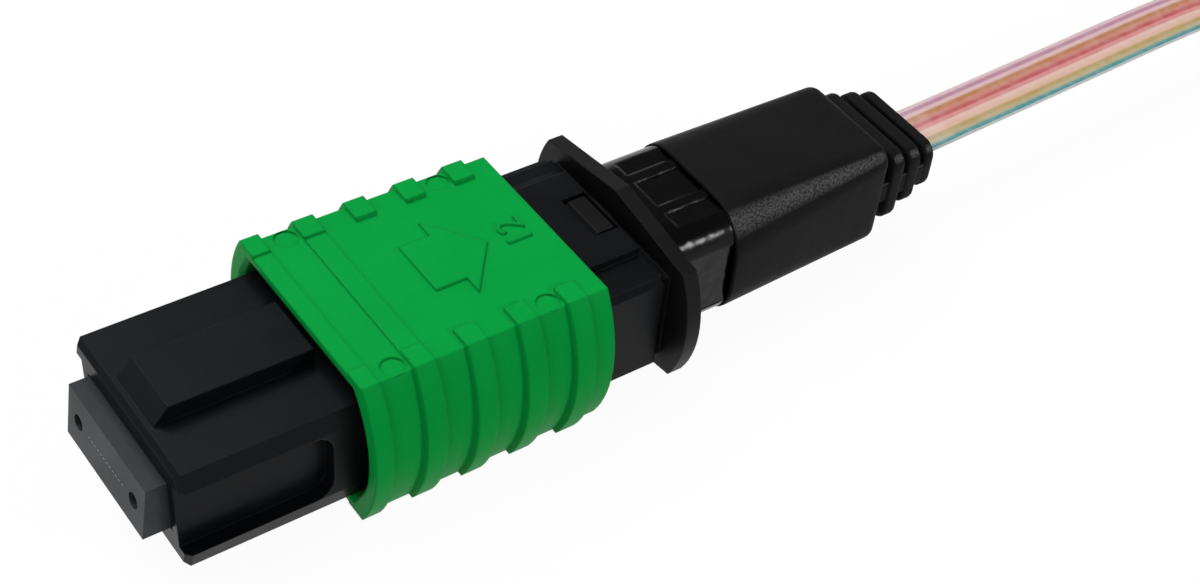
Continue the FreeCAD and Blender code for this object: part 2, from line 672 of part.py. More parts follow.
def make_spring_push():
    """Spring push: insert with latch hooks, neck, flange and crimp barrel."""
    push = Piece("spring_push")
    push.pad("YZ_Plane", "rear_cavity_start", "flange_start - rear_cavity_start",
             lambda drawn: drawn.rectangle("-push_wide / 2", "push_wide / 2",
                                           "-push_tall / 2", "push_tall / 2"))
    push.pad("YZ_Plane", "rear_end", "flange_start - rear_end", lambda drawn: drawn.rectangle(
        "-neck_half", "neck_half", "-neck_top", "neck_top"))
    push.pad("YZ_Plane", "flange_start", "flange_long",
             lambda drawn: drawn.corners(flange_outline()))
    push.pad("YZ_Plane", "flange_start + flange_long", "barrel_long", lambda drawn: drawn.rounded(
        "barrel_half", "barrel_rise", "ring_corner - ring_wall"))
    hook = push.pad("XZ_Plane", "0", "hook_half * 2", lambda drawn: drawn.corners([
        ("hook_start", "0"), ("hook_end", "0"), ("hook_end", "hook_top"),
        ("hook_start + hook_slope", "hook_top"), ("hook_start", "hook_top - hook_slope")]),
        midplane=True)
    push.mirror([hook], "XY_Plane")
    push.pocket("YZ_Plane", "rear_cavity_start - 1", "barrel_long + flange_start",
                lambda drawn: drawn.rectangle("-push_hole_wide / 2", "push_hole_wide / 2",
                                              "-push_hole_tall / 2", "push_hole_tall / 2"))


def make_crimp_ring():
    """Crimp ring over the barrel, with the shallow pressed flutes of the crimping die."""
    ring = Piece("crimp_ring")
    start = "flange_start + flange_long"
    half = "barrel_half + ring_wall"
    rise = "barrel_rise + ring_wall"
    long = "boot_front + ring_in_boot - flange_start - flange_long"
    ring.pad("YZ_Plane", start, long, lambda drawn: drawn.rounded(half, rise, "ring_corner"))
    for shift in ("-(flute_wide + flute_land)", "0", "flute_wide + flute_land"):
        flute = ring.pocket("XY_Plane", rise + " - flute_deep", "1", lambda drawn: drawn.rectangle(
            "flute_start", "boot_front + ring_in_boot + 1",
            "%s - flute_wide / 2" % shift, "%s + flute_wide / 2" % shift))
        ring.mirror([flute], "XY_Plane")
    side = ring.pocket("XZ_Plane", half + " - flute_deep", "1", lambda drawn: drawn.rectangle(
        "flute_start", "boot_front + ring_in_boot + 1",
        "-flute_side_tall / 2", "flute_side_tall / 2"))
    ring.mirror([side], "XZ_Plane")
    ring.pocket("YZ_Plane", start + " - 1", long + " + 2", lambda drawn: drawn.rounded(
        "barrel_half + 0.01", "barrel_rise + 0.01", "ring_corner - ring_wall + 0.01"))


def make_tail_plate(boot, index):
    """One plate of the slotted tail, a step smaller than the plate before it."""
    start = "tail_end - end_plate_long - (plate_count - %d) * plate_pitch" % (index + 1)
    last = index == int(size("plate_count")) - 1
    boot.pad("YZ_Plane", start, "end_plate_long" if last else "plate_long",
             lambda drawn: drawn.rounded("tail_half - %d * plate_narrower" % index,
                                         "tail_rise - %d * plate_lower" % index, "tail_corner",
                                         "tail_lift * %d / plate_count" % (index + 1)))


def make_boot():
    """Rubber strain boot: oval mouth over the crimp ring, square body, slotted tail."""
    boot = Piece("strain_boot")
    rear = "tail_end - tail_long"
    boot.loft([("boot_front", "rim_half", "rim_rise", "rim_corner"),
               (rear + " - boot_edge", "boot_half", "boot_rise", "boot_corner", "boot_lift"),
               (rear, "(boot_half - boot_edge)", "(boot_rise - boot_edge)",
                "boot_corner - boot_edge / 2", "boot_lift")])
    boot.pad("YZ_Plane", rear + " - boot_edge", "tail_long + boot_edge",
             lambda drawn: drawn.rectangle("-core_half", "core_half", "-core_rise", "core_rise"))
    for index in range(int(size("plate_count"))):
        make_tail_plate(boot, index)
    tip_half = "tail_half - plate_narrower * (plate_count - 1)"
    boot.pad("XY_Plane", "0", "web_half * 2", lambda drawn: drawn.corners([
        (rear + " - boot_edge", "-tail_half"), ("tail_end", "-(%s)" % tip_half),
        ("tail_end", tip_half), (rear + " - boot_edge", "tail_half")]), midplane=True)
    boot.pocket("YZ_Plane", "boot_front - 1", "1.02 + ring_in_boot", lambda drawn: drawn.rounded(
        "barrel_half + ring_wall + 0.01", "barrel_rise + ring_wall + 0.01", "ring_corner"))
    boot.pocket("YZ_Plane", "boot_front", "flange_start + flange_long + barrel_long + 0.02 - boot_front",
                lambda drawn: drawn.rounded("barrel_half + 0.01", "barrel_rise + 0.01",
                                            "ring_corner - ring_wall"))
    boot.pocket("YZ_Plane", "boot_front", "tail_end", lambda drawn: drawn.rectangle(
        "-ribbon_wide / 2 - ribbon_room", "ribbon_wide / 2 + ribbon_room",
        "-ribbon_thick / 2 - ribbon_room", "ribbon_thick / 2 + ribbon_room"))


# --- ribbon ----------------------------------------------------------------------------


def make_ribbon_stretch(label, start, stop):
    """Flat straight stretch of the ribbon inside the connector."""
    stretch = Piece(label)
    stretch.pad("YZ_Plane", start, "%s - (%s)" % (stop, start), lambda drawn: drawn.rectangle(
        "-ribbon_wide / 2", "ribbon_wide / 2", "-ribbon_thick / 2", "ribbon_thick / 2"))


def ribbon_route():
    """Stations of the free run as place and roll in degrees: flat, then twisted onto its edge."""
    level = -size("floor_level") + size("ribbon_wide") / 2
    first = FreeCAD.Vector(size("tail_end"), 0, 0)
    flat_end = FreeCAD.Vector(size("twist_start"), size("lateral"), 0)
    edge_up = FreeCAD.Vector(size("twist_end"), size("lateral"), level)
    stations = [(first, 0.0), (flat_end, 0.0)]
    steps = 12
    for index in range(1, steps + 1):
        share = index / steps
        smooth = share * share * (3 - 2 * share)
        spot = FreeCAD.Vector(flat_end.x + (edge_up.x - flat_end.x) * share, size("lateral"),
                              flat_end.z + (edge_up.z - flat_end.z) * smooth)
        stations.append((spot, 90 * smooth))
    stations.append((FreeCAD.Vector(size("coil_centre_x"), size("lateral"), level), 90.0))
    return stations


def make_ribbon_run():
    """Free run of the ribbon from the boot to the coil, cut where it meets the coil."""
    half = size("ribbon_wide") / 2
    thick = size("ribbon_thick") / 2
    sections = []
    for spot, roll in ribbon_route():
        turn = FreeCAD.Rotation(FreeCAD.Vector(1, 0, 0), roll)
        corners = []
        for across, up in ((-half, -thick), (half, -thick), (half, thick), (-half, thick)):
            corners.append(spot + turn.multVec(FreeCAD.Vector(0, across, up)))
        sections.append(Part.makePolygon(corners + corners[:1]))
    run = Part.makeLoft(sections, True, True)
    feature = DOC.addObject("Part::Feature", "ribbon_run")
    feature.Label = "ribbon_run"
    feature.Shape = run.cut(coil_shape())
    length = sum((b[0] - a[0]).Length for a, b in zip(ribbon_route(), ribbon_route()[1:]))
    section = size("ribbon_wide") * size("ribbon_thick")
    print("ribbon run: %.2f mm long, volume %.2f, section times length %.2f"
          % (length, feature.Shape.Volume, section * length))


def coil_shape():
    """Plain ring with the outer shape of the coiled ribbon, lying on the floor."""
    near_side = size("lateral") - size("ribbon_thick") / 2
    base = FreeCAD.Vector(size("coil_centre_x"), near_side + size("coil_outer"),
                          -size("floor_level"))
    high = work_out("coil_layers * ribbon_wide")
    outer = Part.makeCylinder(size("coil_outer"), high, base)
    return outer.cut(Part.makeCylinder(size("coil_inner"), high, base))


def make_ribbon_coil():
    coil = DOC.addObject("Part::Feature", "ribbon_coil")
    coil.Label = "ribbon_coil"
    coil.Shape = coil_shape()


# --- checks and export -----------------------------------------------------------------

NODES = ["ferrule", "fibre_array", "epoxy_fill", "ferrule_grommet", "pin_keeper", "main_spring",
         "front_housing", "coupling_sleeve", "return_spring_near", "return_spring_far",
         "spring_push", "crimp_ring", "strain_boot", "ribbon_inner", "ribbon_held",
         "ribbon_run", "ribbon_coil"]


def check_document():
    """Stop on a failed feature or an empty or invalid sub-part."""
    DOC.recompute()
    for item in DOC.Objects:
        if "Invalid" in item.State or "Error" in item.State:
            raise RuntimeError("%s failed: %s" % (item.Label, item.State))
    for label in NODES:
        shape = DOC.getObjectsByLabel(label)[0].Shape
        if shape.isNull() or not shape.isValid() or not shape.Solids:
            raise RuntimeError("bad shape in " + label)
        print("%-20s %2d solids %10.3f mm3" % (label, len(shape.Solids), shape.Volume))


def export():
    os.makedirs("parts", exist_ok=True)
    for label in NODES:
        DOC.getObjectsByLabel(label)[0].Shape.exportStep("parts/%s.step" % label)


fill_sheet()
make_ferrule()
make_fibres()
make_epoxy()
make_grommet()
make_pin_keeper()
make_housing()
make_sleeve()
make_return_spring("return_spring_near", -1)
make_return_spring("return_spring_far", 1)
make_main_spring()
make_spring_push()
make_crimp_ring()
make_boot()
make_ribbon_stretch("ribbon_inner", "ferrule_long - ribbon_inside", "flange_start + flange_long")
make_ribbon_stretch("ribbon_held", "flange_start + flange_long", "tail_end")
make_ribbon_run()
make_ribbon_coil()
check_document()
export()
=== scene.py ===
"""Multi-fibre push-pull connector with a ribbon pigtail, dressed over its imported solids.

Frame: metres, origin at the centre of the ferrule's end face, +X rearwards to the ribbon,
+Z up to the key side, +Y across. Sizes below are in millimetres unless a name says metres.
"""

import logging
import math
from dataclasses import dataclass, field
from enum import Enum
from typing import Dict, List, Optional, Sequence, Tuple, Union

import bmesh
import bpy
from mathutils import Matrix, Vector

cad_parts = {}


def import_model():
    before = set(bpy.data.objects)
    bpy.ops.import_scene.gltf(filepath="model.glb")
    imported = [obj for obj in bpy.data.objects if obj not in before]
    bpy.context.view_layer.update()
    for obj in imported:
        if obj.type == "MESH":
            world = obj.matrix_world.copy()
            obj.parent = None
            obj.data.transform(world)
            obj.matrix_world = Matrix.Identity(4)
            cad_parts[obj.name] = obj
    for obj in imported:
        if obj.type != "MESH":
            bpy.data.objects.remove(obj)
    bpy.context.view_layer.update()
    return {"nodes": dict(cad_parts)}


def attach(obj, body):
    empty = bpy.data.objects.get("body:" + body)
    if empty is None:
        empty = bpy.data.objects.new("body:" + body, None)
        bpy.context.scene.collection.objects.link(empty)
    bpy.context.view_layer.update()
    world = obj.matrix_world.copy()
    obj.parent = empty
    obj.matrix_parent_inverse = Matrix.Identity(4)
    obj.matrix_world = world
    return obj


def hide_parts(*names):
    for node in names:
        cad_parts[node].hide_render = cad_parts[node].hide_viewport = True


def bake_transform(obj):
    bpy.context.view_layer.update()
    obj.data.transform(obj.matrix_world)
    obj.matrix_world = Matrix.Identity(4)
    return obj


LOG = logging.getLogger("connector")
MM = 0.001
Point = Tuple[float, float, float]
Section = List[Tuple[float, float]]
Rings = List[List[Point]]
FLOOR_MM = -3.78
WHITE = (1.0, 1.0, 1.0, 1.0)


def linear(code: str) -> Tuple[float, float, float, float]:
    """Turn an sRGB hex colour into linear RGBA.

    Args:
        code: Six hex digits.
    Returns:
        Linear red, green, blue and an alpha of 1.
    """
    channels = [int(code[place:place + 2], 16) / 255 for place in (0, 2, 4)]
    curve = [c / 12.92 if c <= 0.04045 else ((c + 0.055) / 1.055) ** 2.4 for c in channels]
    return curve[0], curve[1], curve[2], 1.0


def add(tree: bpy.types.NodeTree, kind: str, settings: Optional[Dict[str, object]] = None,
        links: Optional[Dict[object, object]] = None) -> bpy.types.Node:
    """Add a node, set its properties and sockets, and link its inputs.

    Args:
        tree: Node tree that gets the node.
        kind: Node type's identifier.
        settings: Property or input values. A key that is a property of the node sets that
            property, and any other key names or numbers an input socket.
        links: Output sockets by the name or number of the input that they feed.
    Returns:
        The new node.
    """
    node = tree.nodes.new(kind)
    for key, value in (settings or {}).items():
        if isinstance(key, str) and hasattr(node, key):
            setattr(node, key, value)
        else:
            node.inputs[key].default_value = value
    for key, source in (links or {}).items():
        tree.links.new(source, node.inputs[key])
    return node


def mix_colours(tree: bpy.types.NodeTree, share: bpy.types.NodeSocket,
                first: Union[str, bpy.types.NodeSocket], second: str) -> bpy.types.NodeSocket:
    """Blend two colours.

    Args:
        tree: Node tree of the material.
        share: Socket that gives how much of the second colour shows.
        first: Hex colour, or the socket that gives one.
        second: Hex colour.
    Returns:
        The socket that carries the blend.
    """
    colour_a, colour_b, blend = 6, 7, 2
    node = add(tree, "ShaderNodeMix", {"data_type": "RGBA"}, {0: share})
    if isinstance(first, str):
        node.inputs[colour_a].default_value = linear(first)
    else:
        tree.links.new(first, node.inputs[colour_a])
    node.inputs[colour_b].default_value = linear(second)
    return node.outputs[blend]


def new_material(name: str) -> bpy.types.Material:
    """Make a material with its default shader nodes.

    Args:
        name: Material's name.
    Returns:
        The new material.
    """
    material = bpy.data.materials.new(name)
    material.use_nodes = True
    return material


def link(item: bpy.types.Object) -> bpy.types.Object:
    """Put an object in the scene.

    Args:
        item: The object.
    Returns:
        The same object.
    """
    bpy.context.scene.collection.objects.link(item)
    return item


def walls(rings: int, count: int, base: int = 0) -> List[Tuple[int, ...]]:
    """Faces that join each ring of points to the next.

    Args:
        rings: How many rings there are.
        count: Points in each ring.
        base: Number of the first ring's first point.
    Returns:
        Point numbers of each face.
    """
    faces: List[Tuple[int, ...]] = []
    for level in range(rings - 1):
        low, high = base + level * count, base + (level + 1) * count
        for place in range(count):
            after = (place + 1) % count
            faces.append((low + place, low + after, high + after, high + place))
    return faces


def ease(share: float) -> float:
    """Smooth step from 0 to 1, flat at both ends and held outside them.

    Args:
        share: How far along, from 0 to 1.
    Returns:
        The eased share.
    """
    held = min(max(share, 0.0), 1.0)
    return held * held * (3 - 2 * held)


def new_mesh_object(name: str, verts: Sequence[Sequence[float]],
                    faces: Sequence[Sequence[int]]) -> bpy.types.Object:
    """Make a mesh object from points in metres, with its faces turned outwards.

    Args:
        name: Object's name.
        verts: Points in metres.
        faces: Point numbers of each face.
    Returns:
        The new object, linked to the scene.
    """
    mesh = bpy.data.meshes.new(name)
    mesh.from_pydata([tuple(point) for point in verts], [], [tuple(face) for face in faces])
    shell = bmesh.new()
    shell.from_mesh(mesh)
    bmesh.ops.recalc_face_normals(shell, faces=shell.faces)
    shell.to_mesh(mesh)
    shell.free()
    return link(bpy.data.objects.new(name, mesh))


def mesh_of_curve(name: str, curve: bpy.types.Curve) -> bpy.types.Mesh:
    """Turn a curve or a text into plain mesh.

    Args:
        name: Name of the object that holds the curve meanwhile.
        curve: Curve or text data.
    Returns:
        The mesh.
    """
    holder = link(bpy.data.objects.new(name, curve))
    mesh = bpy.data.meshes.new_from_object(holder)
    bpy.data.objects.remove(holder)
    return mesh


def dress(item: bpy.types.Object, material: bpy.types.Material, smooth: bool = True) -> None:
    """Give an object one material and its shading.

    Args:
        item: The object.
        material: What it is made of.
        smooth: Whether light runs smoothly from face to face.
    """
    item.data.materials.clear()
    item.data.materials.append(material)
    for face in item.data.polygons:
        face.use_smooth = smooth


def bake_down(item: bpy.types.Object) -> None:
    """Turn an object's modifiers into plain mesh and drop them.

    Args:
        item: The object.
    """
    graph = bpy.context.evaluated_depsgraph_get()
    plain = bpy.data.meshes.new_from_object(item.evaluated_get(graph))
    item.modifiers.clear()
    item.data = plain


# --- finishes --------------------------------------------------------------------------


@dataclass(frozen=True)
class MouldedPolymer:
    """Injection-moulded thermoplastic: an even colour with a faint flow and spark texture.

    The spark-eroded mould leaves a grain of about a tenth of a millimetre, which breaks up
    the highlights, and slow changes in gloss show where the melt ran.
    """

    name: str
    colour: str
    second_colour: str
    roughness: float
    specular: float
    grain_mm: float = 0.12
    grain_depth_mm: float = 0.004
    edge_mm: float = 0.08
    painted_edge_highlight: str = ""
    ior: float = 1.55
    flow_per_mm: float = 0.35
    gloss_swing: float = 0.05

    def build(self) -> bpy.types.Material:
        """Make the material.

        Returns:
            The finished material.
        """
        material = new_material(self.name)
        tree = material.node_tree
        shader = tree.nodes["Principled BSDF"]
        place = add(tree, "ShaderNodeTexCoord").outputs["Object"]
        flow = add(tree, "ShaderNodeTexNoise", {"Scale": self.flow_per_mm / MM, "Detail": 3.0},
                   {"Vector": place})
        grain = add(tree, "ShaderNodeTexNoise",
                    {"Scale": 1.0 / (self.grain_mm * MM), "Detail": 2.0, "Roughness": 0.6},
                    {"Vector": place})
        colour = mix_colours(tree, flow.outputs["Fac"], self.colour, self.second_colour)
        # Painted highlight: a pale band on the rounded upper edges stands in for a lamp's gleam.
        if self.painted_edge_highlight:
            colour = self.paint_edge_highlight(tree, colour, grain.outputs["Fac"])
        gloss = add(tree, "ShaderNodeMapRange",
                    {"From Min": 0.3, "From Max": 0.7, "To Min": self.roughness - self.gloss_swing,
                     "To Max": self.roughness + self.gloss_swing}, {"Value": flow.outputs["Fac"]})
        edge = add(tree, "ShaderNodeBevel", {"samples": 6, "Radius": self.edge_mm * MM})
        bump = add(tree, "ShaderNodeBump", {"Strength": 1.0, "Distance": self.grain_depth_mm * MM},
                   {"Height": grain.outputs["Fac"], "Normal": edge.outputs["Normal"]})
        tree.links.new(colour, shader.inputs["Base Color"])
        tree.links.new(gloss.outputs["Result"], shader.inputs["Roughness"])
        tree.links.new(bump.outputs["Normal"], shader.inputs["Normal"])
        shader.inputs["IOR"].default_value = self.ior
        shader.inputs["Specular IOR Level"].default_value = self.specular
        return material

    def paint_edge_highlight(self, tree: bpy.types.NodeTree, colour: bpy.types.NodeSocket,
                  grain: bpy.types.NodeSocket) -> bpy.types.NodeSocket:
        """Paint a pale highlight on the rounded upper edges, in place of a lamp's gleam on the
        rubber.

        Args:
            tree: The material's nodes.
            colour: The colour away from the edges.
            grain: Fine noise that breaks up the painted highlight band.
        Returns:
            The colour with the painted highlight band mixed in.
        """
        normal = add(tree, "ShaderNodeTexCoord").outputs["Normal"]
        parts = add(tree, "ShaderNodeSeparateXYZ", None, {0: normal}).outputs
        side = add(tree, "ShaderNodeMath", {"operation": "ABSOLUTE"}, {0: parts["Y"]})
        lean = add(tree, "ShaderNodeMath", {"operation": "MULTIPLY"},
                   {0: side.outputs[0], 1: parts["Z"]})
        # Edges whose normals lean halfway between up and a side get the painted highlight.
        highlight_band = add(tree, "ShaderNodeMapRange",
                   {"From Min": 0.40, "From Max": 0.52, "To Min": 0.0, "To Max": 1.0},
                   {"Value": lean.outputs[0]})
        specks = add(tree, "ShaderNodeMapRange",
                     {"From Min": 0.38, "From Max": 0.62, "To Min": 0.25, "To Max": 1.0},
                     {"Value": grain})
        share = add(tree, "ShaderNodeMath", {"operation": "MULTIPLY"},
                    {0: highlight_band.outputs["Result"], 1: specks.outputs["Result"]})
        return mix_colours(tree, share.outputs[0], colour, self.painted_edge_highlight)


@dataclass(frozen=True)
class DrawnWire:
    """Drawn stainless wire: metal with fine lines along the draw."""

    name: str
    colour: str
    line_colour: str
    roughness: float = 0.28
    line_mm: float = 0.06
    line_depth_mm: float = 0.002

    def build(self) -> bpy.types.Material:
        """Make the material.

        Returns:
            The finished material.
        """
        material = new_material(self.name)
        tree = material.node_tree
        shader = tree.nodes["Principled BSDF"]
        place = add(tree, "ShaderNodeTexCoord").outputs["Object"]
        lines = add(tree, "ShaderNodeTexNoise",
                    {"Scale": 1.0 / (self.line_mm * MM), "Detail": 2.0}, {"Vector": place})
        tint = mix_colours(tree, lines.outputs["Fac"], self.colour, self.line_colour)
        bump = add(tree, "ShaderNodeBump", {"Strength": 0.6, "Distance": self.line_depth_mm * MM},
                   {"Height": lines.outputs["Fac"]})
        tree.links.new(tint, shader.inputs["Base Color"])
        tree.links.new(bump.outputs["Normal"], shader.inputs["Normal"])
        shader.inputs["Metallic"].default_value = 1.0
        shader.inputs["Roughness"].default_value = self.roughness
        return material


@dataclass(frozen=True)
class RibbonCoating:
    """Acrylate matrix over coloured fibres: a soft gloss, with each fibre's colour inside."""

    name: str
    colours: Tuple[str, ...]
    edge: str
    haze: str
    most_haze: float = 0.16
    ripple_mm: float = 0.6
    ripple_depth_mm: float = 0.006
    roughness: float = 0.35
    specular: float = 0.4
    ior: float = 1.5
    flat_span: Tuple[float, float] = (0.22, 0.78)

    def build(self) -> bpy.types.Material:
        """Make the material. The UV map's u runs across the ribbon, and v along it in mm.

        Returns:
            The finished material.
        """
        material = new_material(self.name)
        tree = material.node_tree
        shader = tree.nodes["Principled BSDF"]
        strip = add(tree, "ShaderNodeUVMap", {"uv_map": "strip"}).outputs["UV"]
        parts = add(tree, "ShaderNodeSeparateXYZ", None, {0: strip})
        ramp = add(tree, "ShaderNodeValToRGB", None, {0: parts.outputs["X"]})
        self.fill_ramp(ramp.color_ramp)
        place = add(tree, "ShaderNodeTexCoord").outputs["Object"]
        cloud = add(tree, "ShaderNodeTexNoise",
                    {"Scale": 1.0 / (self.ripple_mm * MM), "Detail": 3.0}, {"Vector": place})
        haze = add(tree, "ShaderNodeMapRange",
                   {"From Min": 0.35, "From Max": 0.75, "To Max": self.most_haze},
                   {"Value": cloud.outputs["Fac"]})
        tint = mix_colours(tree, haze.outputs["Result"], ramp.outputs["Color"], self.haze)
        bump = add(tree, "ShaderNodeBump",
                   {"Strength": 0.5, "Distance": self.ripple_depth_mm * MM},
                   {"Height": cloud.outputs["Fac"]})
        tree.links.new(tint, shader.inputs["Base Color"])
        tree.links.new(bump.outputs["Normal"], shader.inputs["Normal"])
        shader.inputs["Roughness"].default_value = self.roughness
        shader.inputs["IOR"].default_value = self.ior
        shader.inputs["Specular IOR Level"].default_value = self.specular
        return material

    def fill_ramp(self, ramp: bpy.types.ColorRamp) -> None:
        """Give each fibre a flat stretch of its colour, with a short blend to the next.

        Args:
            ramp: Colour ramp across the ribbon.
        """
        while len(ramp.elements) > 1:
            ramp.elements.remove(ramp.elements[-1])
        stops = [((index + share) / len(self.colours), code)
                 for index, code in enumerate(self.colours) for share in self.flat_span]
        first_place, first_code = stops[0]
        ramp.elements[0].position = first_place
        ramp.elements[0].color = linear(first_code)
        for place, code in stops[1:] + [(1.0, self.edge)]:
            ramp.elements.new(place).color = linear(code)


class Finish(Enum):
    """Every finish on the connector, by the thing that it covers."""

    HOUSING = MouldedPolymer("black_pei_moulding", "0B0D11", "131416", roughness=0.34,
                             specular=0.062, grain_mm=0.10, grain_depth_mm=0.003)
    PUSH = MouldedPolymer("black_pbt_insert", "0D0D0D", "151515", roughness=0.44, specular=0.08)
    FERRULE = MouldedPolymer("glass_filled_pps", "282A2E", "2F3236", roughness=0.5, specular=0.2,
                             grain_mm=0.06, grain_depth_mm=0.002, edge_mm=0.04)
    KEEPER = MouldedPolymer("keeper_pbt", "1C1C1E", "242426", roughness=0.5, specular=0.2)
    SLEEVE = MouldedPolymer("green_pbt_sleeve", "029C3E", "06A646", roughness=0.42, specular=0.025,
                            grain_mm=0.16, grain_depth_mm=0.012, edge_mm=0.2)
    CRIMP = MouldedPolymer("gloss_black_lacquer", "020202", "040404", roughness=0.15,
                           specular=0.14, grain_mm=1.1, grain_depth_mm=0.04, edge_mm=0.2)
    # The boot's pale edge colour paints a highlight along its rounded upper edges.
    BOOT = MouldedPolymer("black_tpe_rubber", "111111", "1D1D1D", roughness=0.52, specular=0.035,
                          grain_mm=0.10, grain_depth_mm=0.03, edge_mm=0.1, painted_edge_highlight="606060")
    GROMMET = MouldedPolymer("silicone_grommet", "202022", "28282A", roughness=0.6, specular=0.2)
    EPOXY = MouldedPolymer("amber_epoxy", "5A3716", "6B431B", roughness=0.2, specular=0.5)
    GLASS_FIBRE = MouldedPolymer("polished_silica_fibre", "3A3D42", "42464B", roughness=0.12,
                                 specular=0.5, grain_mm=0.05, grain_depth_mm=0.0005, edge_mm=0.01)
    WIRE = DrawnWire("drawn_stainless_wire", "B9BABF", "8E8F93")
    RIBBON = RibbonCoating(
        "acrylate_ribbon_matrix",
        colours=("E3C3C6", "BB86A0", "E0BBBC", "BC7F50", "CC8474", "C2545A", "D98C88", "E6BFB4",
                 "E0B8A0", "BB9C62", "B7AC82", "4C989C"),
        edge="E4E8E6", haze="F2E6DE")


class Finishes:
    """Builds each finish once and hands it out."""

    def __init__(self) -> None:
        """Start with nothing built."""
        self.made: Dict[Finish, bpy.types.Material] = {}

    def get(self, finish: Finish) -> bpy.types.Material:
        """Give the material of a finish, built on first use.

        Args:
            finish: The finish.
        Returns:
            Its material.
        """
        if finish not in self.made:
            self.made[finish] = finish.value.build()
        return self.made[finish]


# --- sub-assemblies --------------------------------------------------------------------


@dataclass
class SolidPieces:
    """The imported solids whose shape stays, each with the finish of the real piece."""

    finishes: Finishes
    nodes: Dict[str, bpy.types.Object]
    wears: Dict[str, Finish] = field(default_factory=lambda: {
        "ferrule": Finish.FERRULE, "fibre_array": Finish.GLASS_FIBRE,
        "epoxy_fill": Finish.EPOXY, "ferrule_grommet": Finish.GROMMET,
        "pin_keeper": Finish.KEEPER, "front_housing": Finish.HOUSING,
        "coupling_sleeve": Finish.SLEEVE, "spring_push": Finish.PUSH,
        "crimp_ring": Finish.CRIMP,
        "ribbon_inner": Finish.RIBBON, "ribbon_held": Finish.RIBBON})

    def build(self) -> None:
        """Dress every solid that shows or that another view could show."""
        for name, finish in self.wears.items():
            item = self.nodes[name]
            item.data.materials.clear()
            item.data.materials.append(self.finishes.get(finish))
            LOG.info("dressed %s", name)


@dataclass(frozen=True)
class RoundedSection:
    """A rounded rectangle across X: half its width and height, its corner and its lift."""

    half: float
    rise: float
    corner: float
    lift: float = 0.0

    def ring(self, x: float) -> List[Point]:
        """Points round the section, with even steps round each corner.

        Args:
            x: Where the section stands along the connector.
        Returns:
            The points in millimetres.
        """
        corner_steps = 10
        spots: List[Point] = []
        for right, over, quarter in ((1, 1, 0), (-1, 1, 1), (-1, -1, 2), (1, -1, 3)):
            for step in range(corner_steps + 1):
                turn = math.pi / 2 * (quarter + step / corner_steps)
                spots.append((x, right * (self.half - self.corner) + self.corner * math.cos(turn),
                              self.lift + over * (self.rise - self.corner)
                              + self.corner * math.sin(turn)))
        return spots


